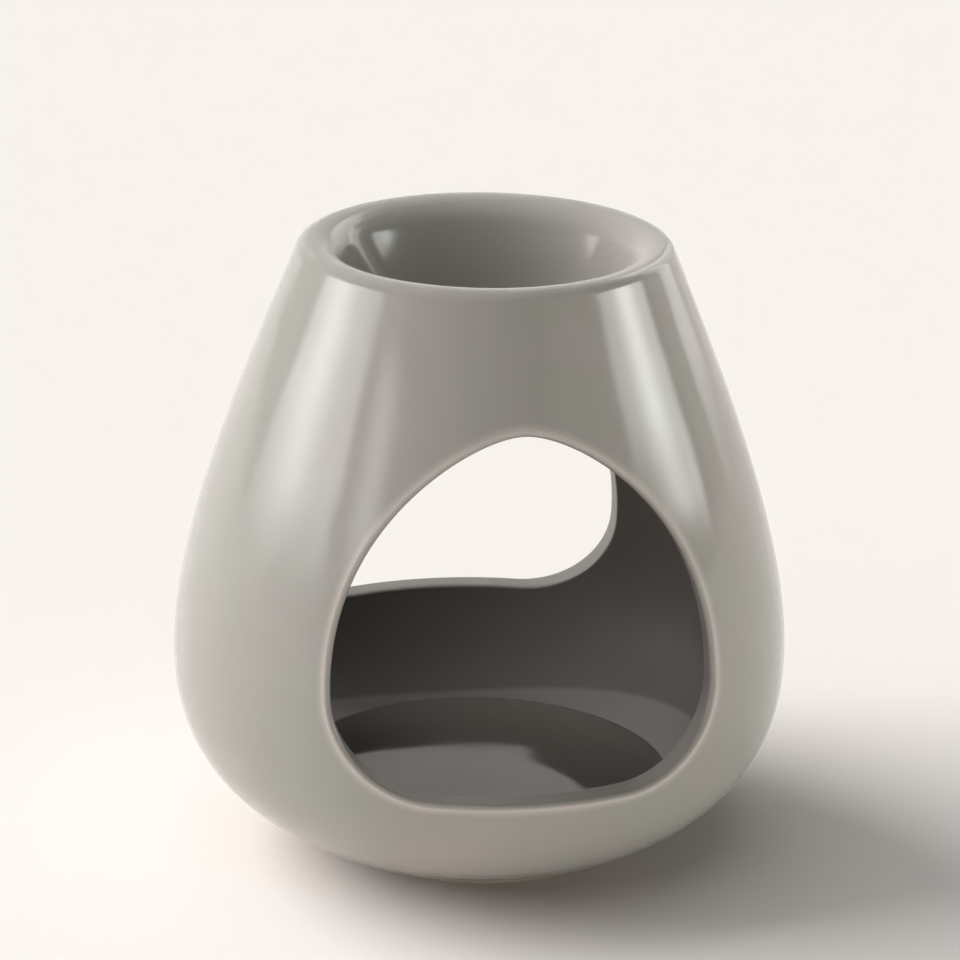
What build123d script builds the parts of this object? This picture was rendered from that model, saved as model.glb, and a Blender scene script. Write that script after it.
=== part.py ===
from build123d import *
import os
from math import cos, radians, sin, tan

# Oil burner of glazed stoneware: a round hollow body with an arched opening at the front and one at
# the back, a flat floor inside for a small candle, and a bowl for oil and water closing the top.
# Sizes are millimetres, angles are degrees. Z is up, the table is at Z 0, the front faces -Y.

# Outside of the body, as radius and height above the table
BELLY_RADIUS = 52.5
BELLY_HEIGHT = 34.0
MOUTH_RADIUS = 33.3
MOUTH_HEIGHT = 100.0
MOUTH_LEAN = 22.0  # how far the wall leans inwards at the mouth
FOOT_RADIUS = 26.0
FOOT_BEVEL = 0.8  # lifts the foot's outer edge off the table
FOOT_RISE = 22.3  # how steeply the underside rises from the foot

# Lengths of the curve handles that give the body its roundness
BELLY_HANDLE_UP = 19.7
MOUTH_HANDLE = 19.6
BELLY_HANDLE_DOWN = 18.4
FOOT_HANDLE = 16.8

# Walls, floor and foot
WALL = 4.5
FLOOR_HEIGHT = 9.3
FLOOR_STEP = 1.2  # the floor stands this much above the seat that the wall is set on
FOOT_HEIGHT = 3.0
FOOT_HOLE_RADIUS = 20.5
JOINT_GAP = 0.15  # room for the slip that joins two pieces

# Bowl and its rolled lip
COLLAR_LENGTH = 4.7  # straight stretch of the rim between the mouth and the roll of the lip
LIP_RADIUS = 2.4  # outer half of the roll
LIP_INNER_RADIUS = 6.2  # inner half of the roll, which falls away into the cup
LIP_FALL = 65.0  # how steep the lip has become where the cup begins
BOWL_DEPTH = 17.0  # below the mouth
BOWL_WALL = 4.0  # under the middle of the cup
CUP_SIDE = 0.5  # share of the cup's height that its side handle takes
CUP_FLOOR = 0.55  # share of the cup's radius that its floor handle takes
BORE_TRIM = 0.7  # cut off the leaning wall at the mouth, so that the cup drops in

# Arched openings, front and back alike
OPENING_WIDTH = 62.4
SILL_RISE = 16.8  # above the chamber's floor
SILL_CORNER_RADIUS = 15.9
CROWN_DROP = 15.8  # below the mouth
SIDE_FULLNESS = 0.64  # share of the arch's rise that its side handle takes
CROWN_FULLNESS = 0.30  # share of the arch's half width that its crown handle takes
EDGE_LAND = 3.0  # part of the wall left flat between the two rounded edges

os.makedirs("parts", exist_ok=True)


def handle_loss(turn):
    """How much shorter a curve's handle gets for each millimetre that the curve is moved inwards."""
    return 4 / 3 * tan(radians(turn) / 4)


# Ends of the body's outside curves
belly = Vector(BELLY_RADIUS, BELLY_HEIGHT)
mouth = Vector(MOUTH_RADIUS, MOUTH_HEIGHT)
foot = Vector(FOOT_RADIUS, FOOT_BEVEL)
up = Vector(0, 1)
mouth_direction = Vector(-sin(radians(MOUTH_LEAN)), cos(radians(MOUTH_LEAN)))
foot_direction = Vector(cos(radians(FOOT_RISE)), sin(radians(FOOT_RISE)))

# Ends of the chamber's curves, one wall thickness inside
chamber_belly = belly - Vector(WALL, 0)
chamber_mouth = mouth + mouth_direction.rotate(Axis.Z, 90) * WALL
chamber_foot = foot + foot_direction.rotate(Axis.Z, 90) * WALL
upper_loss = WALL * handle_loss(MOUTH_LEAN)
lower_loss = WALL * handle_loss(90 - FOOT_RISE)

# Half section of the whole body, from the table to the mouth
with BuildSketch(Plane.XZ) as body_section:
    with BuildLine():
        Bezier(
            belly,
            belly + up * BELLY_HANDLE_UP,
            mouth - mouth_direction * MOUTH_HANDLE,
            mouth,
        )
        Bezier(
            belly,
            belly - up * BELLY_HANDLE_DOWN,
            foot + foot_direction * FOOT_HANDLE,
            foot,
        )
        Polyline(foot, (FOOT_RADIUS - FOOT_BEVEL, 0), (0, 0), (0, MOUTH_HEIGHT), mouth)
    make_face()

# Half section of the chamber inside it
with BuildSketch(Plane.XZ) as chamber_section:
    with BuildLine():
        Bezier(
            chamber_belly,
            chamber_belly + up * (BELLY_HANDLE_UP - upper_loss),
            chamber_mouth - mouth_direction * (MOUTH_HANDLE - upper_loss),
            chamber_mouth,
        )
        Bezier(
            chamber_belly,
            chamber_belly - up * (BELLY_HANDLE_DOWN - lower_loss),
            chamber_foot + foot_direction * (FOOT_HANDLE - lower_loss),
            chamber_foot,
        )
        Polyline(chamber_foot, (0, chamber_foot.Y), (0, chamber_mouth.Y), chamber_mouth)
    make_face()

# The chamber above the floor
with BuildPart() as chamber:
    revolve(chamber_section.sketch, axis=Axis.Z)
    split(bisect_by=Plane.XY.offset(FLOOR_HEIGHT), keep=Keep.TOP)
floor_edge = chamber.edges().group_by(Axis.Z)[0][0] @ 0
floor_radius = Vector(floor_edge.X, floor_edge.Y).length
seat_height = FLOOR_HEIGHT - FLOOR_STEP

# Bore of the mouth, and the cup that hangs in it
mouth_bore_radius = chamber_mouth.X + BORE_TRIM
mouth_bore_depth = 2 * WALL  # reaches well past the leaning inside of the wall
spigot = Vector(mouth_bore_radius - JOINT_GAP, MOUTH_HEIGHT)
cup_bottom = Vector(0, MOUTH_HEIGHT - BOWL_DEPTH)
cup_underside = cup_bottom - up * BOWL_WALL
cup_direction = Vector(-cos(radians(LIP_FALL)), -sin(radians(LIP_FALL)))

# Foot ring that the burner stands on
with BuildPart() as foot_ring:
    revolve(body_section.sketch, axis=Axis.Z)
    split(bisect_by=Plane.XY.offset(FOOT_HEIGHT), keep=Keep.BOTTOM)
    Hole(FOOT_HOLE_RADIUS)
foot_ring.part.label = "foot_ring"
export_step(foot_ring.part, "parts/foot_ring.step")

# Floor disc: the wall stands on its rim, and its raised middle is the chamber's floor
with BuildPart() as floor_disc:
    revolve(body_section.sketch, axis=Axis.Z)
    split(bisect_by=Plane.XY.offset(FOOT_HEIGHT), keep=Keep.TOP)
    split(bisect_by=Plane.XY.offset(seat_height), keep=Keep.BOTTOM)
    with BuildSketch(Plane.XY.offset(seat_height)):
        Circle(floor_radius - JOINT_GAP)
    extrude(amount=FLOOR_STEP)
floor_disc.part.label = "floor_disc"
export_step(floor_disc.part, "parts/floor_disc.step")

# Outline of an opening: flat sill, round corners, then sides that lean in to a round crown
half_width = OPENING_WIDTH / 2
sill_height = FLOOR_HEIGHT + SILL_RISE
sill_end = half_width - SILL_CORNER_RADIUS
widest = Vector(half_width, sill_height + SILL_CORNER_RADIUS)
crown = Vector(0, MOUTH_HEIGHT - CROWN_DROP)
arch_rise = crown.Y - widest.Y
edge_round = (WALL - EDGE_LAND) / 2

# Body shell with both openings, its edges rounded
with BuildPart() as body_shell:
    revolve(body_section.sketch, axis=Axis.Z)
    split(bisect_by=Plane.XY.offset(seat_height), keep=Keep.TOP)
    add(chamber.part, mode=Mode.SUBTRACT)
    with BuildSketch(Plane.XY.offset(seat_height)):
        Circle(floor_radius)
    extrude(amount=FLOOR_STEP, mode=Mode.SUBTRACT)
    with BuildSketch(Plane.XY.offset(MOUTH_HEIGHT)):
        Circle(mouth_bore_radius)
    extrude(amount=-mouth_bore_depth, mode=Mode.SUBTRACT)
    with BuildSketch(Plane.XZ):
        with BuildLine():
            sill = Line((0, sill_height), (sill_end, sill_height))
            TangentArc(sill @ 1, widest, tangent=sill % 1)
            Bezier(
                widest,
                widest + up * (SIDE_FULLNESS * arch_rise),
                crown + Vector(CROWN_FULLNESS * half_width, 0),
                crown,
            )
            mirror(about=Plane.YZ)
        make_face()
    extrude(amount=BELLY_RADIUS + WALL, both=True, mode=Mode.SUBTRACT)
    opening_edges = edges(Select.LAST).filter_by(Axis.Y, reverse=True)
    opening_edges = opening_edges.sort_by(lambda edge: tuple(edge @ 0.5))
    fillet(opening_edges, radius=edge_round)
body_shell.part.label = "body_shell"
export_step(body_shell.part, "parts/body_shell.step")


def cup_curve(start, bottom):
    """One side of the cup, from its steep edge down to the middle."""
    side_handle = CUP_SIDE * (start.Y - bottom.Y)
    floor_handle = CUP_FLOOR * start.X
    return Bezier(start, start + cup_direction * side_handle, bottom + Vector(floor_handle, 0), bottom)


# Oil bowl: its rolled rim sits on the mouth and its cup hangs inside
with BuildPart() as oil_bowl:
    with BuildSketch(Plane.XZ):
        with BuildLine():
            collar = Line(mouth, mouth + mouth_direction * COLLAR_LENGTH)
            outer_roll = JernArc(collar @ 1, collar % 1, LIP_RADIUS, 90 - MOUTH_LEAN)
            inner_roll = JernArc(outer_roll @ 1, outer_roll % 1, LIP_INNER_RADIUS, LIP_FALL)
            cup_curve(inner_roll @ 1, cup_bottom)
            Line(cup_bottom, cup_underside)
            cup_curve(spigot, cup_underside)
            Line(spigot, mouth)
        make_face()
    revolve(axis=Axis.Z)
oil_bowl.part.label = "oil_bowl"
export_step(oil_bowl.part, "parts/oil_bowl.step")

print("overall height", round(oil_bowl.part.bounding_box().max.Z, 2))
print("floor radius", round(floor_radius, 2), "mouth bore radius", round(mouth_bore_radius, 2))
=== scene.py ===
# %% [markdown]
# # A stoneware oil burner
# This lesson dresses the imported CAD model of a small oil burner: a round body with an arched opening
# at the front and one at the back, a bowl for oil and water in its top, and a floor inside for a small
# candle. The CAD model fixes every size. Here the same shapes are made again as fine, smooth meshes,
# because a glossy glaze shows every facet of a coarser one, and they get their glazes, a table to
# stand on, studio lights and a camera.

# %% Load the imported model
import math

import bmesh
import bpy
import numpy as np
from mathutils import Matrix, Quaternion, Vector


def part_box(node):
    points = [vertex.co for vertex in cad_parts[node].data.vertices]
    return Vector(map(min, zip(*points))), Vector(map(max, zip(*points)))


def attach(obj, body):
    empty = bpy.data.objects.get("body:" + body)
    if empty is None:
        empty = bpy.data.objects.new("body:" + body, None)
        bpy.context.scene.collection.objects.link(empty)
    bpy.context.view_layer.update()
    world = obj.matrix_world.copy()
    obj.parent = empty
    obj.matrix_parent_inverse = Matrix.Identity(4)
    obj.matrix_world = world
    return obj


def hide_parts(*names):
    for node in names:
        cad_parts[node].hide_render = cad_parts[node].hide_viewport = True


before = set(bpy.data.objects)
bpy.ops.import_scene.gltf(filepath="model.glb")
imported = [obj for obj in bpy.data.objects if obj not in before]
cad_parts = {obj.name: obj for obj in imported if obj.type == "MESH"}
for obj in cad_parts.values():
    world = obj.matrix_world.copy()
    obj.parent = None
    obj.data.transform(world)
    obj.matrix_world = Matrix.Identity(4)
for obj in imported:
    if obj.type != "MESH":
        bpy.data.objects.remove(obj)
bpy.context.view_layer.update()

print("nodes", sorted(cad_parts))

# %% [markdown]
# ## The line of the wall
# The body is one wall, thrown on a wheel, that swells from a small foot to a belly low down and leans
# in to the mouth. Its section is two smooth curves that meet at the belly. The line could be read off
# the CAD mesh, but a mesh only holds samples of it. Written again from the few sizes that drive it, the
# line is exact at every height, and the same function gives the outside and, moved in by the wall's
# thickness, the inside.

# %% Sizes of the wall, in millimetres and degrees
MM = 0.001
BELLY_RADIUS = 52.5
BELLY_HEIGHT = 34.0
MOUTH_RADIUS = 33.3
MOUTH_HEIGHT = 100.0
MOUTH_LEAN = 22.0
FOOT_RADIUS = 26.0
FOOT_BEVEL = 0.8
FOOT_RISE = 22.3
BELLY_HANDLE_UP = 19.7
MOUTH_HANDLE = 19.6
BELLY_HANDLE_DOWN = 18.4
FOOT_HANDLE = 16.8
WALL = 4.5
LINE_STEPS = 1500


def curve(start, start_handle, end_handle, end):
    """Points along one smooth curve with two handles."""
    t = np.linspace(0, 1, LINE_STEPS)[:, None]
    s = 1 - t
    return s**3 * start + 3 * s**2 * t * start_handle + 3 * s * t**2 * end_handle + t**3 * end


def handle_loss(turn):
    """How much shorter a handle gets for each millimetre that its curve is moved inwards."""
    return 4 / 3 * math.tan(math.radians(turn) / 4)


def wall_line(inset):
    """Radius and height along the wall from foot to mouth, with the line moved inwards."""
    lean = math.radians(MOUTH_LEAN)
    rise = math.radians(FOOT_RISE)
    mouth_way = np.array([-math.sin(lean), math.cos(lean)])
    foot_way = np.array([math.cos(rise), math.sin(rise)])
    up = np.array([0, 1])
    upper_loss = inset * handle_loss(MOUTH_LEAN)
    lower_loss = inset * handle_loss(90 - FOOT_RISE)
    belly = np.array([BELLY_RADIUS - inset, BELLY_HEIGHT])
    mouth = np.array([MOUTH_RADIUS - inset * mouth_way[1], MOUTH_HEIGHT + inset * mouth_way[0]])
    foot = np.array([FOOT_RADIUS - inset * foot_way[1], FOOT_BEVEL + inset * foot_way[0]])
    lower = curve(
        foot,
        foot + foot_way * (FOOT_HANDLE - lower_loss),
        belly - up * (BELLY_HANDLE_DOWN - lower_loss),
        belly,
    )
    upper = curve(
        belly,
        belly + up * (BELLY_HANDLE_UP - upper_loss),
        mouth - mouth_way * (MOUTH_HANDLE - upper_loss),
        mouth,
    )
    return np.vstack([lower[:-1], upper])


def radius_at(line, height):
    """Radius of a wall line at a height."""
    return np.interp(height, line[:, 1], line[:, 0])


outside = wall_line(0)
inside = wall_line(WALL)
shell_low, shell_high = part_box("body_shell")
print("belly radius", BELLY_RADIUS, "and in the CAD model", round(shell_high.x / MM, 2))

# %% [markdown]
# ## Where the pieces meet
# The burner is four pieces of clay: a foot ring, a floor disc on it, the body shell on the floor's rim
# and the oil bowl in the mouth. Their seats are flat rings, and in the glazed pot only fine lines show
# there. Each height comes from the box of its CAD node, so the pieces meet where the CAD model says.

# %% Heights and radii of the seats
foot_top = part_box("foot_ring")[1].z / MM
seat_height = shell_low.z / MM
floor_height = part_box("floor_disc")[1].z / MM
rim_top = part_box("oil_bowl")[1].z / MM
JOINT_GAP = 0.15
BORE_TRIM = 0.7
LIP_RADIUS = 2.4
COLLAR_LENGTH = 4.7
FOOT_HOLE_RADIUS = 20.5
lean = math.radians(MOUTH_LEAN)
lip_x = MOUTH_RADIUS - COLLAR_LENGTH * math.sin(lean) - LIP_RADIUS * math.cos(lean)
lip_z = MOUTH_HEIGHT + COLLAR_LENGTH * math.cos(lean) - LIP_RADIUS * math.sin(lean)
bore_radius = inside[-1, 0] + BORE_TRIM
spigot_radius = bore_radius - JOINT_GAP
floor_radius = radius_at(inside, floor_height)
upper_inside = inside[inside[:, 1] > BELLY_HEIGHT][::-1]
bore_end = np.interp(bore_radius, upper_inside[:, 0], upper_inside[:, 1])
print("rim top", round(lip_z + LIP_RADIUS, 2), "and in the CAD model", round(rim_top, 2))

# %% [markdown]
# ## The outline of an opening
# A potter cuts the opening with a knife while the clay is soft: a flat sill, two round corners, and
# sides that lean in to a round crown. The outline is drawn flat, as seen from the front, and cut
# straight through. Half of it is a line, an arc and one curve, and the other half is its mirror.

# %% Draw the outline
OPENING_WIDTH = 62.4
SILL_RISE = 16.8
SILL_CORNER_RADIUS = 15.9
CROWN_DROP = 15.8
SIDE_FULLNESS = 0.64
CROWN_FULLNESS = 0.30
HUB_HEIGHT = 52.0
half_width = OPENING_WIDTH / 2
sill_height = floor_height + SILL_RISE
crown_height = MOUTH_HEIGHT - CROWN_DROP


def opening_outline():
    """Points (across, height) round an opening, from the middle of the sill by the right-hand side."""
    widest = sill_height + SILL_CORNER_RADIUS
    rise = crown_height - widest
    sill_end = half_width - SILL_CORNER_RADIUS
    t = np.linspace(0, 1, LINE_STEPS)
    sill = np.stack([sill_end * t, np.full_like(t, sill_height)], 1)
    turn = np.radians(90) * (t - 1)
    corner = np.stack([np.cos(turn), np.sin(turn)], 1) * SILL_CORNER_RADIUS + [sill_end, widest]
    side = curve(
        np.array([half_width, widest]),
        np.array([half_width, widest + SIDE_FULLNESS * rise]),
        np.array([CROWN_FULLNESS * half_width, crown_height]),
        np.array([0, crown_height]),
    )
    right = np.vstack([sill[:-1], corner[:-1], side])
    left = right[-2::-1] * [-1, 1]
    return np.vstack([right, left])


outline = opening_outline()
print("outline points", len(outline), "from", outline.min(0), "to", outline.max(0))

# %% [markdown]
# ## Rounding the cut edge
# A wet sponge rounds the knife's edge, on the outside and on the inside, and leaves a narrow flat
# between. A Bevel modifier on a cut mesh makes uneven faces where the wall curves, so the rounding is
# worked out: at each point of the outline, look at the wall in the plane square to the cut, and find
# the circle that touches both the cut and the wall. The circle's arc is the rounded edge.

# %% Work out the rounded edge
EDGE_LAND = 3.0
ROUND_STEPS = 8
LAND_STEPS = 6
PROBE = 0.05
SEARCH_RADII = 4
HALVINGS = 40
edge_round = (WALL - EDGE_LAND) / 2


def depth_at(line, across, height):
    """How far the wall lies in front of the axis, at a place on the flat outline."""
    return np.sqrt(np.maximum(radius_at(line, height) ** 2 - across**2, 0))


def rounded_arc(line, side, point, normal):
    """Rings of an arc from the wall to the cut; side is 1 for the outside and -1 for the inside."""

    def depth(d):
        return depth_at(line, point[:, 0] + d * normal[:, 0], point[:, 1] + d * normal[:, 1])

    def into_clay(d):
        slope = (depth(d + PROBE) - depth(d - PROBE)) / (2 * PROBE)
        length = np.hypot(1, slope)
        return side * slope / length, -side / length

    near = np.zeros(len(point))
    far = np.full(len(point), SEARCH_RADII * edge_round)
    for _ in range(HALVINGS):
        middle = (near + far) / 2
        short = middle + edge_round * into_clay(middle)[0] < edge_round
        near = np.where(short, middle, near)
        far = np.where(short, far, middle)
    n_across, n_depth = into_clay(near)
    centre = depth(near) + edge_round * n_depth
    start = np.arctan2(-n_depth, -n_across)
    rings = []
    for share in np.linspace(0, 1, ROUND_STEPS + 1):
        angle = start + (side * math.pi - start) * share
        d = edge_round * (1 + np.cos(angle))
        h = centre + edge_round * np.sin(angle)
        rings.append(np.stack([point[:, 0] + d * normal[:, 0], h, point[:, 1] + d * normal[:, 1]], 1))
    return rings


def edge_rings(point, normal):
    """Rings across the whole cut edge: rounded, flat, rounded. Each row is across, depth, height."""
    outer = rounded_arc(outside, 1, point, normal)
    inner = rounded_arc(inside, -1, point, normal)
    shares = np.linspace(0, 1, LAND_STEPS + 1)[1:-1]
    land = [outer[-1] + (inner[-1] - outer[-1]) * share for share in shares]
    return outer + land + inner[::-1]


print("edge radius", round(edge_round, 2), "mm")

# %% [markdown]
# ## The body shell's grid
# The shell's section is a closed loop: up the outside, over the mouth's seat, down the inside and back
# under. Turned about the axis it gives a grid of rings and columns. A Boolean would cut the openings
# out of that grid in long thin faces that shade badly, so each opening gets a window in the grid
# instead, and new rings of faces lead from the window's border in to the rounded edge.

# %% Lay out the rings and columns
COLUMNS = 288
BELOW_ROWS = 24
WINDOW_ROWS = 84
ABOVE_ROWS = 12
WINDOW_LOW = 15.0
WINDOW_HIGH = 93.0
WINDOW_HALF_COLUMNS = 42


def along(line, low, high, rows):
    """Evenly spaced points along a wall line from one height up to another, without the last one."""
    heights = np.linspace(low, high, LINE_STEPS)
    radii = radius_at(line, heights)
    length = np.concatenate([[0], np.cumsum(np.hypot(np.diff(radii), np.diff(heights)))])
    at = np.interp(np.arange(rows) / rows * length[-1], length, heights)
    return np.stack([radius_at(line, at), at], 1)


def wall_rows(line, low, high):
    """Rows of the grid up one side of the wall: below the windows, beside them and above them."""
    below = along(line, low, WINDOW_LOW, BELOW_ROWS)
    beside = along(line, WINDOW_LOW, WINDOW_HIGH, WINDOW_ROWS)
    above = along(line, WINDOW_HIGH, high, ABOVE_ROWS)
    return np.vstack([below, beside, above, [(radius_at(line, high), high)]])


outside_rows = wall_rows(outside, seat_height, MOUTH_HEIGHT)
inside_rows = wall_rows(inside, floor_height, bore_end)[::-1]
mouth_corner = (bore_radius, MOUTH_HEIGHT)
seat_corner = (floor_radius, seat_height)
section = np.vstack([outside_rows, [mouth_corner], inside_rows, [seat_corner]])
inside_first = len(outside_rows) + 1
inside_last = inside_first + len(inside_rows) - 1
turns = np.arange(COLUMNS) * 2 * np.pi / COLUMNS
print("grid of", len(section), "rings by", COLUMNS, "columns")

# %% [markdown]
# ## Points and faces
# Blender makes a mesh from a list of points and a list of faces that name the points by number. Two
# more numbers are kept with each point for the glaze to read. The first is 1 where the edge is rounded:
# the glaze thins and runs off it there, and the paler colour it brings also paints the edge's highlight.
# The second is 1 on the inside of the pot, where it paints the chamber's shade as a darker colour. In
# the cove where the wall turns into the floor a paler band is painted as a reflection of the light from
# the front opening, widest at the sides, so the painted shade is less there.

# %% Lists of points and faces
points, thin_glaze_and_sheen, shade_and_bare_clay, faces = [], [], [], []


def add_points(new_points, new_thin_glaze_and_sheen, new_shade):
    """Keeps new points and returns their numbers."""
    first = sum(len(block) for block in points)
    points.append(new_points)
    thin_glaze_and_sheen.append(np.broadcast_to(new_thin_glaze_and_sheen, len(new_points)))
    shade_and_bare_clay.append(np.broadcast_to(new_shade, len(new_points)))
    return first + np.arange(len(new_points))


def add_band(ring, next_ring):
    """Faces between two closed rings of points."""
    faces.extend(zip(ring, np.roll(ring, -1), np.roll(next_ring, -1), next_ring))


def on_wall(radius, turn, height):
    """Points at a radius, an angle counted from the front, and a height."""
    turn, height = np.broadcast_arrays(turn, height)
    return np.stack([radius * np.sin(turn), -radius * np.cos(turn), height], 1)


# %% Turn the section and leave the windows open
# A paler band painted low on the inside wall, as a reflection of light from the front opening.
COVE_BACK = 1.0
COVE_SIDE = 4.4
COVE_BLEND = 0.6
COVE_PAINTED_REFLECTION = 0.5
bottom_row = BELOW_ROWS
top_row = BELOW_ROWS + WINDOW_ROWS
windows = ((bottom_row, top_row), (inside_last - top_row, inside_last - bottom_row))
grid = []
cove_top = floor_height + COVE_BACK + COVE_SIDE * np.sin(turns) ** 2
# The inside rows get the chamber's painted shade, with less of it in the cove.
for row, (radius, height) in enumerate(section):
    is_inside = float(inside_first <= row <= inside_last)
    in_cove = np.clip((cove_top - height) / COVE_BLEND, 0, 1)
    grid.append(add_points(on_wall(radius, turns, height), 0, is_inside * (1 - COVE_PAINTED_REFLECTION * in_cove)))


def in_window(row, column):
    """True for a face of the grid that lies in one of the four windows."""
    across = (column + WINDOW_HALF_COLUMNS) % (COLUMNS // 2)
    return across < 2 * WINDOW_HALF_COLUMNS and any(low <= row < high for low, high in windows)


for row, ring in enumerate(grid):
    next_ring = grid[(row + 1) % len(grid)]
    for column in range(COLUMNS):
        if not in_window(row, column):
            after = (column + 1) % COLUMNS
            faces.append((ring[column], ring[after], next_ring[after], next_ring[column]))
print("faces of the plain wall", len(faces))

# %% [markdown]
# ## The windows
# Angles are counted from the front, so the front window is centred on column 0 and the back one on
# the column half way round. A point of a window's border and a point of the outline belong together
# when they lie in the same direction from the middle of the opening. Across the cut edge the painted
# shade grows from the outside to the inside, dark on the flat cut face, and drops once on the inner
# rounding, where a pale line is painted as a highlight.

# %% Lead the wall in to the rounded edges
WINDOW_RINGS = 12
RING_CROWDING = 1.6
# How far the pale edge mark, glaze thinned and a painted highlight, reaches onto the wall.
THIN_AND_SHEEN_REACH = 0.9
# Painted shade across the cut edge: none outside, dark on the flat cut face, a dip for a painted
# highlight on the inner rounding, full inside.
EDGE_SHADES = (0.0, 0.8, 0.8, 0.4, 1.0)


def window_border(bottom, top, centre):
    """Numbers, angles from the middle and heights of the points round a window, from its lower left."""
    left, right = -WINDOW_HALF_COLUMNS, WINDOW_HALF_COLUMNS
    step = 1 if top > bottom else -1
    walk = [(bottom, column) for column in range(left, right)]
    walk += [(row, right) for row in range(bottom, top, step)]
    walk += [(top, column) for column in range(right, left, -1)]
    walk += [(row, left) for row in range(top, bottom, -step)]
    numbers = np.array([grid[row][(centre + column) % COLUMNS] for row, column in walk])
    angles = np.array([column for _, column in walk]) * 2 * np.pi / COLUMNS
    heights = np.array([section[row, 1] for row, _ in walk])
    return numbers, angles, heights


def direction(across, height):
    """Direction from the middle of the opening, counted from straight down round by the right."""
    return np.arctan2(across, HUB_HEIGHT - height) % (2 * np.pi)


def outline_at(wanted):
    """Point and outward normal of the opening's outline in each wanted direction."""
    loop = outline[:-1]
    around = direction(loop[:, 0], loop[:, 1])
    way = np.roll(loop, -1, axis=0) - np.roll(loop, 1, axis=0)
    columns = (loop[:, 0], loop[:, 1], way[:, 1], -way[:, 0])
    found = np.stack([np.interp(wanted, around, column, period=2 * np.pi) for column in columns], 1)
    normal = found[:, 2:] / np.linalg.norm(found[:, 2:], axis=1)[:, None]
    return found[:, :2], normal


def fill_window(line, border, ring, ring_numbers, centre, wall_shade):
    """Rings of faces from the rounded edge out to the border of a window."""
    numbers, angles, heights = border
    edge_angle = np.arctan2(ring[:, 0], ring[:, 1])
    previous = ring_numbers
    for share in (np.arange(1, WINDOW_RINGS) / WINDOW_RINGS) ** RING_CROWDING:
        angle = edge_angle + (angles - edge_angle) * share
        height = ring[:, 2] + (heights - ring[:, 2]) * share
        away = np.hypot((angle - edge_angle) * BELLY_RADIUS, height - ring[:, 2])
        place = on_wall(radius_at(line, height), angle + centre, height)
        new = add_points(place, np.exp(-away / THIN_AND_SHEEN_REACH), wall_shade)
        add_band(previous, new)
        previous = new
    add_band(previous, numbers)


for centre_column, facing in ((0, 1), (COLUMNS // 2, -1)):
    centre = centre_column * 2 * np.pi / COLUMNS
    outer_border = window_border(bottom_row, top_row, centre_column)
    inner_border = window_border(inside_last - bottom_row, inside_last - top_row, centre_column)
    rings = edge_rings(*outline_at(direction(outer_border[1] * BELLY_RADIUS, outer_border[2])))
    numbers = []
    last = len(rings) - 1
    edge_steps = (0, ROUND_STEPS, last - ROUND_STEPS, last - ROUND_STEPS / 2, last)
    for step, ring in enumerate(rings):
        from_edge = min(step, last - step) / ROUND_STEPS
        edge_shade = np.interp(step, edge_steps, EDGE_SHADES)
        numbers.append(add_points(ring * [facing, -facing, 1], max(0.0, 1 - from_edge), edge_shade))
    for ring, next_ring in zip(numbers, numbers[1:]):
        add_band(ring, next_ring)
    fill_window(outside, outer_border, rings[0], numbers[0], centre, 0.0)
    fill_window(inside, inner_border, rings[-1], numbers[-1], centre, 1.0)
print("faces of the shell", len(faces))

# %% [markdown]
# ## From lists to an object
# The grid still holds the points that lay inside the windows, so only the points that some face uses
# are kept. The normals are then turned outwards, the faces are shaded smooth, and the edges of the
# seats, which really are sharp, are marked so.

# %% Make the shell's object
SHARP_ANGLE = 40.0


def finish_mesh(mesh):
    """Turns the faces outwards and shades them smooth up to the sharp edges."""
    work = bmesh.new()
    work.from_mesh(mesh)
    bmesh.ops.recalc_face_normals(work, faces=work.faces)
    work.to_mesh(mesh)
    work.free()
    mesh.shade_smooth()
    mesh.set_sharp_from_angle(angle=math.radians(SHARP_ANGLE))
    return mesh


def keep_number(mesh, name, values):
    """Keeps one number with each point of a mesh, for its material to read."""
    layer = mesh.attributes.new(name, "FLOAT", "POINT")
    layer.data.foreach_set("value", np.asarray(values, dtype=np.float32))


def radii_heights(mesh):
    """Radius and height of every point of a mesh, in millimetres."""
    places = np.empty(3 * len(mesh.vertices), dtype=np.float32)
    mesh.vertices.foreach_get("co", places)
    x, y, z = places.reshape(-1, 3).T / MM
    return np.hypot(x, y), z


def new_piece(name, mesh):
    """Puts a mesh into the scene as an object at the origin."""
    piece = bpy.data.objects.new(name, mesh)
    bpy.context.scene.collection.objects.link(piece)
    return piece


used, renumbered = np.unique(np.array(faces), return_inverse=True)
shell_mesh = bpy.data.meshes.new("glazed_shell")
shell_mesh.from_pydata(np.vstack(points)[used] * MM, [], renumbered.reshape(-1, 4).tolist())
# Keep the pale edge mark (thin glaze and a painted highlight) and the painted shade of the inside.
keep_number(shell_mesh, "thin_glaze_and_sheen", np.concatenate(thin_glaze_and_sheen)[used])
keep_number(shell_mesh, "shade_and_bare_clay", np.concatenate(shade_and_bare_clay)[used])
shell = new_piece("glazed_shell", finish_mesh(shell_mesh))
print("shell", len(shell_mesh.vertices), "points", len(shell_mesh.polygons), "faces")

# %% [markdown]
# ## A potter's wheel in Geometry Nodes
# The bowl, the floor and the foot are all turned shapes: one profile, carried round the axis. The
# Screw modifier could do it, but a node tree shows the rule itself. It lays a flat grid with one column
# for each turn step, gives each grid point the place of its profile point, and turns that place round
# the axis by the column's angle. Welding close points then shuts the seam and the middle.

# %% Build the wheel
def maths(tree, operation, *values):
    """One step of arithmetic on numbers and sockets."""
    new = tree.nodes.new("ShaderNodeMath")
    new.operation = operation
    for socket, value in zip(new.inputs, values):
        if isinstance(value, bpy.types.NodeSocket):
            tree.links.new(value, socket)
        else:
            socket.default_value = value
    return new.outputs[0]


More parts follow.
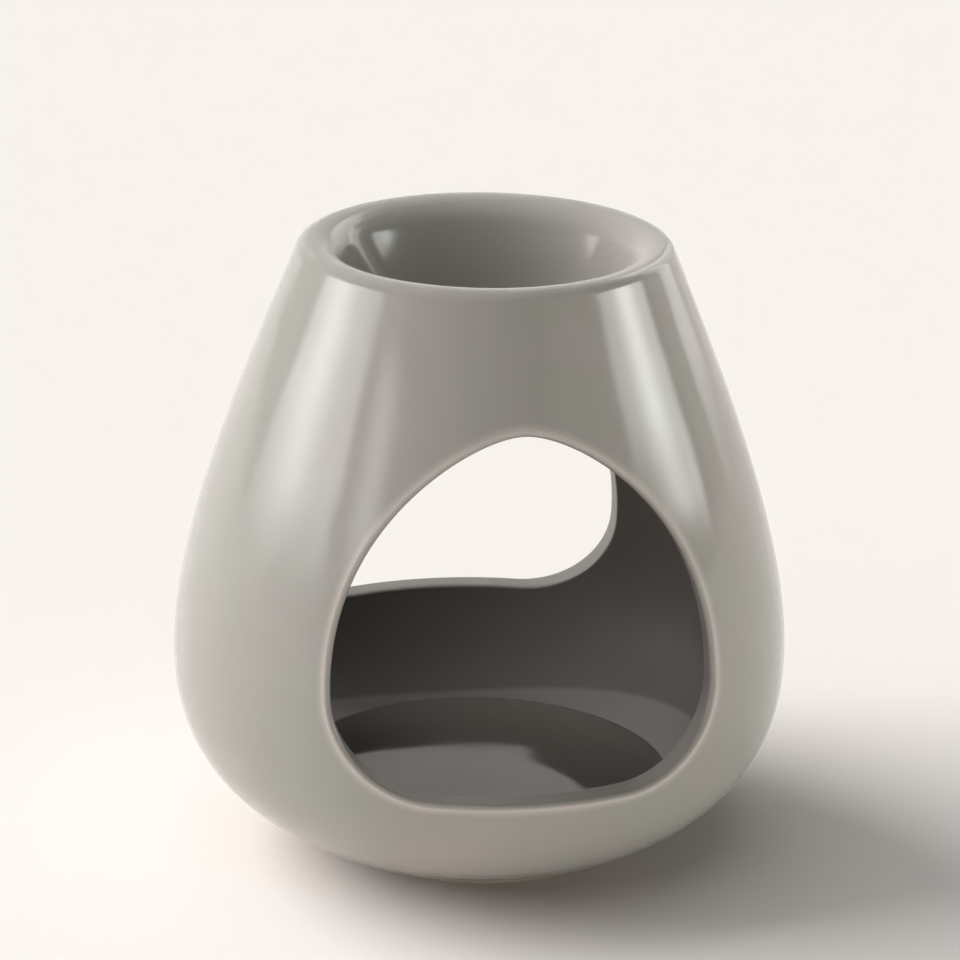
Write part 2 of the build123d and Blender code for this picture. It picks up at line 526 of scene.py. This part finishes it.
def wheel_tree():
    """A node tree that turns a profile of wire about the Z axis."""
    tree = bpy.data.node_groups.new("potters_wheel", "GeometryNodeTree")
    sockets = tree.interface
    sockets.new_socket("Profile", in_out="INPUT", socket_type="NodeSocketGeometry")
    sockets.new_socket("Turn Steps", in_out="INPUT", socket_type="NodeSocketInt")
    sockets.new_socket("Weld Distance", in_out="INPUT", socket_type="NodeSocketFloat")
    sockets.new_socket("Finish", in_out="INPUT", socket_type="NodeSocketMaterial")
    sockets.new_socket("Piece", in_out="OUTPUT", socket_type="NodeSocketGeometry")

    def node(kind, **settings):
        new = tree.nodes.new(kind)
        for name, value in settings.items():
            setattr(new, name, value)
        return new

    link = tree.links.new
    given = node("NodeGroupInput").outputs
    size = node("GeometryNodeAttributeDomainSize", component="MESH")
    link(given["Profile"], size.inputs["Geometry"])
    count = size.outputs["Point Count"]
    sheet = node("GeometryNodeMeshGrid")
    link(maths(tree, "ADD", given["Turn Steps"], 1), sheet.inputs["Vertices X"])
    link(count, sheet.inputs["Vertices Y"])
    index = node("GeometryNodeInputIndex").outputs["Index"]
    sample = node("GeometryNodeSampleIndex", data_type="FLOAT_VECTOR", domain="POINT")
    link(given["Profile"], sample.inputs["Geometry"])
    link(node("GeometryNodeInputPosition").outputs["Position"], sample.inputs["Value"])
    link(maths(tree, "MODULO", index, count), sample.inputs["Index"])
    column = maths(tree, "FLOOR", maths(tree, "DIVIDE", index, count))
    share = maths(tree, "DIVIDE", column, given["Turn Steps"])
    angle = maths(tree, "MULTIPLY", share, math.tau)
    turn = node("ShaderNodeVectorRotate", rotation_type="Z_AXIS")
    link(sample.outputs["Value"], turn.inputs["Vector"])
    link(angle, turn.inputs["Angle"])
    place = node("GeometryNodeSetPosition")
    link(sheet.outputs["Mesh"], place.inputs["Geometry"])
    link(turn.outputs["Vector"], place.inputs["Position"])
    weld = node("GeometryNodeMergeByDistance")
    link(place.outputs["Geometry"], weld.inputs["Geometry"])
    link(given["Weld Distance"], weld.inputs["Distance"])
    real = node("GeometryNodeRealizeInstances")
    link(weld.outputs["Geometry"], real.inputs["Geometry"])
    finish = node("GeometryNodeSetMaterial")
    link(real.outputs["Geometry"], finish.inputs["Geometry"])
    link(given["Finish"], finish.inputs["Material"])
    link(finish.outputs["Geometry"], node("NodeGroupOutput").inputs["Piece"])
    return tree


wheel = wheel_tree()
wheel_inputs = {}
for item in wheel.interface.items_tree:
    if item.in_out == "INPUT":
        wheel_inputs[item.name] = item.identifier
print("wheel inputs", list(wheel_inputs))

# %% Turn a profile
TURN_STEPS = 288
WELD_DISTANCE = 0.000001


def turned(name, profile, finish):
    """A piece turned from profile points (radius, height) in millimetres."""
    wire = bpy.data.meshes.new(name + "_profile")
    places = [(radius * MM, 0, height * MM) for radius, height in profile]
    wire.from_pydata(places, [(n, n + 1) for n in range(len(places) - 1)], [])
    template = new_piece(name + "_profile", wire)
    modifier = template.modifiers.new("wheel", "NODES")
    modifier.node_group = wheel
    modifier[wheel_inputs["Turn Steps"]] = TURN_STEPS
    modifier[wheel_inputs["Weld Distance"]] = WELD_DISTANCE
    modifier[wheel_inputs["Finish"]] = finish
    seen = template.evaluated_get(bpy.context.evaluated_depsgraph_get())
    mesh = bpy.data.meshes.new_from_object(seen)
    template.modifiers.remove(modifier)
    bpy.data.objects.remove(template)
    mesh.name = name
    print(name, len(mesh.vertices), "points", len(mesh.polygons), "faces")
    return new_piece(name, finish_mesh(mesh))


# %% [markdown]
# ## Glaze
# Stoneware glaze is a thin layer of glass over clay, coloured in its depth and shiny on top. A
# Principled shader gives the shine, and its colour, roughness and surface come from nodes: slow clouds
# of warmer and greener grey where the glaze lies thicker or thinner, a paler line where it thins on an
# edge, which also paints that edge's highlight, a darker tone painted inside the pot for its shade, and
# a faint waviness that bends the reflections. All of them read the piece's own coordinates and numbers
# kept with its points, so that the pattern stays on the clay from every side.

# %% Mix a glaze
CLOUD_SCALE = 40.0
CLOUD_DETAIL = 5.0
CLOUD_RANGE = (0.35, 0.65)
WAVE_SCALE = 38.0
WAVE_DETAIL = 1.0
WAVE_HEIGHT = 0.0006
PEEL_SCALE = 900.0
PEEL_DETAIL = 2.0
PEEL_HEIGHT = 0.000004
EDGE_RANGE = (0.2, 1.0)
EDGE_PALENESS = 0.8
SHINE_DETAIL = 2.0
SHINE_RANGE = (0.3, 0.7)
SHINE_SPREAD = 0.15
WALL_SHINE = 0.12
FLOOR_SHINE = 0.07
INSIDE_DULL = 0.4
GLASS_IOR = 1.52
WARM_GREY = (0.357, 0.319, 0.296)
GREEN_GREY = (0.327, 0.321, 0.285)
# Pale edge colour: glaze thinned on the edges, and a painted highlight there.
PALE_EDGE = (0.58, 0.525, 0.485)
# Painted shade of the chamber inside the pot.
PAINTED_SHADE_INSIDE = (0.150, 0.136, 0.120)
# Painted shade deep in the bowl.
PAINTED_SHADE_BOWL = (0.215, 0.197, 0.179)
BARE_CLAY = (0.50, 0.42, 0.33)


def mix_colour(tree, factor, first, second):
    """A colour between two others; each may be a colour or a socket."""
    new = tree.nodes.new("ShaderNodeMix")
    new.data_type = "RGBA"
    pairs = ((new.inputs["Factor"], factor), (new.inputs[6], first), (new.inputs[7], second))
    for socket, value in pairs:
        if isinstance(value, bpy.types.NodeSocket):
            tree.links.new(value, socket)
        else:
            socket.default_value = value if isinstance(value, float) else (*value, 1)
    return new.outputs[2]


def ramp(tree, value, low, high, low_out, high_out):
    """Carries a value from one range to another, and holds it there."""
    new = tree.nodes.new("ShaderNodeMapRange")
    tree.links.new(value, new.inputs["Value"])
    names = ("From Min", "From Max", "To Min", "To Max")
    for name, number in zip(names, (low, high, low_out, high_out)):
        new.inputs[name].default_value = number
    return new.outputs["Result"]


def noise(tree, scale, detail):
    """Even noise on the piece's own coordinates."""
    where = tree.nodes.new("ShaderNodeTexCoord")
    new = tree.nodes.new("ShaderNodeTexNoise")
    new.inputs["Scale"].default_value = scale
    new.inputs["Detail"].default_value = detail
    tree.links.new(where.outputs["Object"], new.inputs["Vector"])
    return new.outputs["Fac"]


def kept_number(tree, name):
    """A number kept with the points of the mesh."""
    new = tree.nodes.new("ShaderNodeAttribute")
    new.attribute_name = name
    return new.outputs["Fac"]


def bumped(tree, height, distance, below=None):
    """A surface bump; below is another bump that lies under it."""
    new = tree.nodes.new("ShaderNodeBump")
    new.inputs["Distance"].default_value = distance
    tree.links.new(height, new.inputs["Height"])
    if below:
        tree.links.new(below, new.inputs["Normal"])
    return new.outputs["Normal"]


def glaze(name, shade_and_bare_colour, shine, dull):
    """The grey stoneware glaze.

    Its second colour is the shade painted inside the pot and the bare clay on the foot; shine is its
    roughness, and dull is what the inside adds to that.
    """
    material = bpy.data.materials.new(name)
    material.use_nodes = True
    tree = material.node_tree
    shader = tree.nodes["Principled BSDF"]
    clouds = ramp(tree, noise(tree, CLOUD_SCALE, CLOUD_DETAIL), *CLOUD_RANGE, 0.0, 1.0)
    body = mix_colour(tree, clouds, WARM_GREY, GREEN_GREY)
    # Paler edges: glaze thinned there, and a painted highlight.
    edge = ramp(tree, kept_number(tree, "thin_glaze_and_sheen"), *EDGE_RANGE, 0.0, EDGE_PALENESS)
    edged = mix_colour(tree, edge, body, PALE_EDGE)
    # The second colour: painted shade inside the pot, bare clay on the foot ring.
    shade_bare_share = kept_number(tree, "shade_and_bare_clay")
    colour = mix_colour(tree, shade_bare_share, edged, shade_and_bare_colour)
    tree.links.new(colour, shader.inputs["Base Color"])
    shiniest = shine * (1 - SHINE_SPREAD)
    dullest = shine * (1 + SHINE_SPREAD)
    rough = ramp(tree, noise(tree, WAVE_SCALE, SHINE_DETAIL), *SHINE_RANGE, shiniest, dullest)
    rough = maths(tree, "MULTIPLY_ADD", shade_bare_share, dull, rough)
    tree.links.new(rough, shader.inputs["Roughness"])
    waves = bumped(tree, noise(tree, WAVE_SCALE, WAVE_DETAIL), WAVE_HEIGHT)
    peel = bumped(tree, noise(tree, PEEL_SCALE, PEEL_DETAIL), PEEL_HEIGHT, waves)
    tree.links.new(peel, shader.inputs["Normal"])
    shader.inputs["IOR"].default_value = GLASS_IOR
    return material


body_glaze = glaze("body_glaze", PAINTED_SHADE_INSIDE, WALL_SHINE, INSIDE_DULL)
bowl_glaze = glaze("bowl_glaze", PAINTED_SHADE_BOWL, WALL_SHINE, 0.0)
chamber_glaze = glaze("chamber_glaze", PAINTED_SHADE_INSIDE, FLOOR_SHINE, 0.0)
wiped_foot = glaze("wiped_foot", BARE_CLAY, WALL_SHINE, INSIDE_DULL)
shell_mesh.materials.append(body_glaze)
print("glazes", [material.name for material in (body_glaze, bowl_glaze, chamber_glaze, wiped_foot)])

# %% [markdown]
# ## The oil bowl
# The bowl is a round cup that hangs in the mouth by its rim. Its rim goes on from the wall in the same
# line, rolls over in a tight curve, and falls away into the cup in a wider one, so that no edge shows
# inside. The profile is two arcs and two curves, and the seat under the rim is out of sight.

# %% Turn the bowl
LIP_INNER_RADIUS = 6.2
LIP_FALL = 65.0
BOWL_DEPTH = 17.0
BOWL_WALL = 4.0
CUP_SIDE = 0.5
CUP_FLOOR = 0.55
CUP_POINTS = 30
LIP_STEPS = 20
COLLAR_STEPS = 8
# Where the bowl's painted shade begins and where it is full, as depths below the rim.
SHADE_FROM = 2.0
SHADE_TO = 14.0


def arc(x, z, radius, start, end):
    """Points of an arc about a centre, between two angles in radians."""
    turn = np.linspace(start, end, LIP_STEPS + 1)
    return np.stack([x + radius * np.cos(turn), z + radius * np.sin(turn)], 1)


def cup(start, bottom):
    """A cup's curve from its steep side down to the middle of its floor."""
    fall = math.radians(LIP_FALL)
    side = np.array([-math.cos(fall), -math.sin(fall)]) * CUP_SIDE * (start[1] - bottom)
    line = curve(start, start + side, np.array([CUP_FLOOR * start[0], bottom]), np.array([0, bottom]))
    return line[:: LINE_STEPS // CUP_POINTS]


rim_z = lip_z + LIP_RADIUS
upright = math.pi / 2
cup_start = upright + math.radians(LIP_FALL)
lip_inside = arc(lip_x, rim_z - LIP_INNER_RADIUS, LIP_INNER_RADIUS, cup_start, upright)
lip_outside = arc(lip_x, lip_z, LIP_RADIUS, upright, lean)[1:]
mouth = np.array([MOUTH_RADIUS, MOUTH_HEIGHT])
collar = lip_outside[-1] + (mouth - lip_outside[-1]) * np.linspace(0, 1, COLLAR_STEPS + 1)[1:, None]
cup_bottom = MOUTH_HEIGHT - BOWL_DEPTH
cup_inside = cup(lip_inside[0], cup_bottom)
cup_inside = np.vstack([[(0, cup_bottom)], cup_inside[:0:-1]])
cup_outside = cup(np.array([spigot_radius, MOUTH_HEIGHT]), cup_bottom - BOWL_WALL)
cup_outside = np.vstack([cup_outside, [(0, cup_bottom - BOWL_WALL)]])
profile = np.vstack([cup_inside, lip_inside, lip_outside, collar, cup_outside])
bowl = turned("glazed_bowl", profile, bowl_glaze)
# Painted shade in the bowl, darker with depth below the rim.
radii, heights = radii_heights(bowl.data)
depth = np.where(radii < lip_x, rim_z - heights, 0)
keep_number(bowl.data, "shade_and_bare_clay", np.clip((depth - SHADE_FROM) / (SHADE_TO - SHADE_FROM), 0, 1))

# %% [markdown]
# ## The floor and the foot
# The floor is a plain disc with a raised middle that the wall is set round, and the foot is a ring
# that lifts it off the table. Below the wall both follow the same outside line as the body.

# %% Turn the floor and the foot
UNDER_STEPS = 24
step_radius = floor_radius - JOINT_GAP
floor_middle = [(0, floor_height), (step_radius, floor_height), (step_radius, seat_height)]
under_wall = outside_rows[0]
floor_side = along(outside, foot_top, seat_height, UNDER_STEPS)[::-1]
floor_disc = turned(
    "glazed_floor",
    np.vstack([floor_middle, under_wall, floor_side, [(0, foot_top)]]),
    chamber_glaze,
)
foot_side = along(outside, FOOT_BEVEL, foot_top, UNDER_STEPS)[::-1]
foot_start = [(FOOT_HOLE_RADIUS, foot_top), (radius_at(outside, foot_top), foot_top)]
foot_end = [(FOOT_RADIUS - FOOT_BEVEL, 0), (FOOT_HOLE_RADIUS, 0), (FOOT_HOLE_RADIUS, foot_top)]
foot_ring = turned("wiped_foot_ring", np.vstack([foot_start, foot_side, foot_end]), wiped_foot)
# The floor's top and underside get the chamber's painted shade; the foot's underside is bare clay.
radii, heights = radii_heights(floor_disc.data)
keep_number(floor_disc.data, "shade_and_bare_clay", (heights > seat_height) | (radii < FOOT_HOLE_RADIUS))
radii, heights = radii_heights(foot_ring.data)
keep_number(foot_ring.data, "shade_and_bare_clay", (heights < FOOT_BEVEL / 2) | (radii < FOOT_RADIUS - FOOT_BEVEL))

# %% Put the pieces under the root and hide their CAD nodes
for piece, node, slot in (
    (shell, "body_shell", "glaze"),
    (bowl, "oil_bowl", "bowl_glaze"),
    (floor_disc, "floor_disc", "chamber_glaze"),
    (foot_ring, "foot_ring", "wiped_foot"),
):
    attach(piece, "root")
    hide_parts(node)

# %% [markdown]
# ## Camera
# The photograph looks a little down on the burner from a little to the left. Its angle, distance and
# tilt were worked out from the outline of the lip, the body and the two openings.

# %% Place the camera
CAMERA_AROUND = -10.0
CAMERA_UP = 20.6
CAMERA_DISTANCE = 0.640
CAMERA_CENTRE = Vector((0, 0, 0.0505))
CAMERA_AIM = Vector((-0.00031, 0.00005, 0.06334))
CAMERA_ROLL = 0.91
CAMERA_LENS = 140.25
CAMERA_CLIP = 0.01


def place(around, up, distance):
    """A place seen from the burner: around is counted from the front, to the right."""
    around, up = math.radians(around), math.radians(up)
    level = math.cos(up)
    return Vector((math.sin(around) * level, -math.cos(around) * level, math.sin(up))) * distance


def look(start, end):
    """Turn of a camera or lamp at start that faces end."""
    return (end - start).to_track_quat("-Z", "Y")


scene = bpy.context.scene
camera = bpy.data.objects.new("camera", bpy.data.cameras.new("camera"))
scene.collection.objects.link(camera)
camera.location = CAMERA_CENTRE + place(CAMERA_AROUND, CAMERA_UP, CAMERA_DISTANCE)
tilt = Quaternion((0, 0, 1), math.radians(CAMERA_ROLL))
camera.rotation_euler = (look(camera.location, CAMERA_AIM) @ tilt).to_euler()
camera.data.lens = CAMERA_LENS
camera.data.clip_start = CAMERA_CLIP
scene.camera = camera
print("camera at", [round(c, 3) for c in camera.location])

# %% [markdown]
# ## Table and light
# The table is a plain cream sheet, and two wide suns on the left light it. The low one throws the long
# soft shadow, and the high one makes that shadow lighter the further it lies from the foot. The burner
# has a sun of its own and five fills, from the left, the right, the front, below and all round, which
# stand for the light that walls and table throw back; the right one is faintly green. Each sun and fill
# is linked to the table or to the burner, so that the shadow and the clay can be lit apart.
#
# The streaks in the glaze are soft boxes: a tall one on either side, a card at the left front, and two
# panels at the back on the right. They show only in the glaze, because boxes bright enough for these
# streaks would wash out the colour of the clay if they lit it too.

# %% Lay the table
TABLE_SIZE = 6.0
CREAM = (0.974, 0.922, 0.880)
table_mesh = bpy.data.meshes.new("table")
half = TABLE_SIZE / 2
corners = [(-half, -half, 0), (half, -half, 0), (half, half, 0), (-half, half, 0)]
table_mesh.from_pydata(corners, [], [(0, 1, 2, 3)])
table = new_piece("table", table_mesh)
table_paper = bpy.data.materials.new("table_paper")
table_paper.use_nodes = True
paper = table_paper.node_tree.nodes["Principled BSDF"]
paper.inputs["Base Color"].default_value = (*CREAM, 1)
paper.inputs["Roughness"].default_value = 1.0
paper.inputs["Specular IOR Level"].default_value = 0.0
table_mesh.materials.append(table_paper)

# %% Light the table and the burner
# Widths of suns are degrees, a box's distance and size are metres, and places on a box are shares of it.
SUN_WIDTH = 84.0
LOW_WIDTH = 60.0
HIGH_WIDTH = 100.0
DOME_WIDTH = 180.0
FILL_WIDTH = 24.0
FRONT_WIDTH = 50.0
RIGHT_WIDTH = 76.0
FLANK_TINT = (0.94, 1.0, 0.88)
BOX_DISTANCE = 0.8
BOX_MIDDLE = 0.5
BOX_BORDER = 0.12
CORE_REACH = 0.3
BOX_TOP_FADE = 0.15
BOX_BEND = 0.4


def lamp(name, kind, start, end, strength):
    """A lamp at start that shines towards end."""
    data = bpy.data.lights.new(name, kind)
    data.energy = strength
    new = bpy.data.objects.new(name, data)
    scene.collection.objects.link(new)
    new.location = start
    new.rotation_euler = look(start, end).to_euler()
    return new


def smooth(tree, value, low, high):
    """Rises softly from 0 to 1 between two values."""
    rise = ramp(tree, value, low, high, 0.0, 1.0)
    rise.node.interpolation_type = "SMOOTHSTEP"
    return rise


def wide_sun(name, around, up, strength, width):
    """A sun so wide that its shadows are soft; the glaze doesn't mirror it."""
    new = lamp(name, "SUN", place(CAMERA_AROUND + around, up, 1), Vector(), strength)
    new.data.angle = math.radians(width)
    new.visible_glossy = False
    return new


burner = bpy.data.collections.new("burner")
for piece in (shell, bowl, floor_disc, foot_ring):
    burner.objects.link(piece)
ground = bpy.data.collections.new("ground")
ground.objects.link(table)
for name, lit, around, up, strength, width in (
    ("left_sun", burner, -109, 38, 4.32, SUN_WIDTH),
    ("low_sun", ground, -107, 32, 3.40, LOW_WIDTH),
    ("high_sun", ground, -90, 64, 1.19, HIGH_WIDTH),
    ("left_fill", burner, -72, 4, 0.6, FILL_WIDTH),
    ("right_fill", burner, 88, 10, 1.38, RIGHT_WIDTH),
    ("front_fill", burner, -5, 8, 0.1, FRONT_WIDTH),
    ("table_fill", burner, 62, -25, 0.7, FRONT_WIDTH),
    ("room_fill", burner, 0, 90, 0.2, DOME_WIDTH),
):
    sun = wide_sun(name, around, up, strength, width)
    sun.light_linking.receiver_collection = lit
    sun.light_linking.blocker_collection = burner
bpy.data.lights["right_fill"].color = FLANK_TINT


def soft_box(
    name,
    around,
    width,
    height,
    plate=0.0,
    core=0.0,
    core_at=BOX_MIDDLE,
    fade=(0.0, 0.2),
    lean=0.0,
    slope=0.0,
):
    """A soft box on the table that only shows in the glaze.

    Plate is its brightness, core is what its brightest line adds, and core_at is that line's place
    across. It grows bright between the two heights of fade, which are shares of its own. Lean is how
    far its lower part bends aside, and slope how much its lower end is cut away towards one side.
    """
    middle = Vector((0, 0, height / 2))
    start = place(CAMERA_AROUND + around, 0, BOX_DISTANCE) + middle
    new = lamp(name, "AREA", start, middle, math.pi * width * height)
    new.data.shape = "RECTANGLE"
    new.data.size = width
    new.data.size_y = height
    new.visible_diffuse = False
    new.visible_camera = False
    new.data.use_nodes = True
    tree = new.data.node_tree
    where = tree.nodes.new("ShaderNodeSeparateXYZ")
    tree.links.new(tree.nodes.new("ShaderNodeNewGeometry").outputs["Parametric"], where.inputs[0])
    up = where.outputs["Y"]
    low = maths(tree, "MAXIMUM", maths(tree, "SUBTRACT", BOX_BEND, up), 0.0)
    across = maths(tree, "MULTIPLY_ADD", low, lean, where.outputs["X"])
    from_middle = maths(tree, "SUBTRACT", across, BOX_MIDDLE)
    aside = maths(tree, "ABSOLUTE", from_middle)
    even = maths(tree, "MULTIPLY", smooth(tree, aside, BOX_MIDDLE, BOX_MIDDLE - BOX_BORDER), plate)
    from_core = maths(tree, "ABSOLUTE", maths(tree, "SUBTRACT", across, core_at))
    bright = maths(tree, "MULTIPLY_ADD", smooth(tree, from_core, CORE_REACH, 0.0), core, even)
    cut = maths(tree, "MULTIPLY_ADD", from_middle, slope, up)
    rising = smooth(tree, cut, *fade)
    ending = smooth(tree, up, 1.0, 1 - BOX_TOP_FADE)
    total = maths(tree, "MULTIPLY", bright, maths(tree, "MULTIPLY", rising, ending))
    tree.links.new(total, tree.nodes["Emission"].inputs["Strength"])


soft_box("left_box", -85, 0.76, 0.46, plate=3.7, core=3.8, core_at=0.43, fade=(0.0, 0.62), lean=0.5)
soft_box("right_box", 88, 0.58, 0.46, plate=4.0, core=5.6, core_at=0.52, fade=(0.29, 0.50), slope=0.47)
soft_box("right_panel", 132, 0.24, 0.62, plate=1.6)
soft_box("back_panel", 150, 0.44, 0.90, plate=2.0, fade=(0.0, 0.8))
soft_box("left_card", -48, 0.52, 0.43, core=3.0, fade=(0.3, 0.6))

# %% [markdown]
# ## The room
# Past the burner the eye sees the same cream as the table. In the glaze the room is mirrored dark in
# front and on the far left, and cream behind, which leaves the front of the pot deep and its right
# flank pale. To the clay and the table the room itself sends only a weak and even light.

# %% Make the room
ROOM_DARK = (0.30, 0.285, 0.27)
PALE_FLANK = 0.6
FLANK_EDGE = (0.34, 0.46)
BACK_EDGE = (0.6, 0.95)
LEFT_EDGE = (-0.75, -0.25)
ROOM_FILL = (0.050, 0.052, 0.054)
world = bpy.data.worlds.new("studio")
scene.world = world
world.use_nodes = True
room = world.node_tree
paths = room.nodes.new("ShaderNodeLightPath").outputs
way = room.nodes.new("ShaderNodeTexCoord").outputs["Generated"]


def towards(around):
    """How much a direction of the room points to one side, seen from the camera."""
    new = room.nodes.new("ShaderNodeVectorMath")
    new.operation = "DOT_PRODUCT"
    room.links.new(way, new.inputs[0])
    new.inputs[1].default_value = place(CAMERA_AROUND + around, 0, 1)
    return new.outputs["Value"]


behind = towards(180)
pale = maths(room, "MULTIPLY", smooth(room, behind, *FLANK_EDGE), PALE_FLANK)
pale = maths(room, "MULTIPLY_ADD", smooth(room, behind, *BACK_EDGE), 1 - PALE_FLANK, pale)
pale = maths(room, "MULTIPLY", pale, smooth(room, towards(90), *LEFT_EDGE))
mirrored = mix_colour(room, pale, ROOM_DARK, CREAM)
tone = mix_colour(room, paths["Is Glossy Ray"], ROOM_FILL, mirrored)
seen = maths(room, "MAXIMUM", paths["Is Camera Ray"], paths["Is Transmission Ray"])
tone = mix_colour(room, seen, tone, CREAM)
room.links.new(tone, room.nodes["Background"].inputs["Color"])
scene.view_settings.view_transform = "Standard"
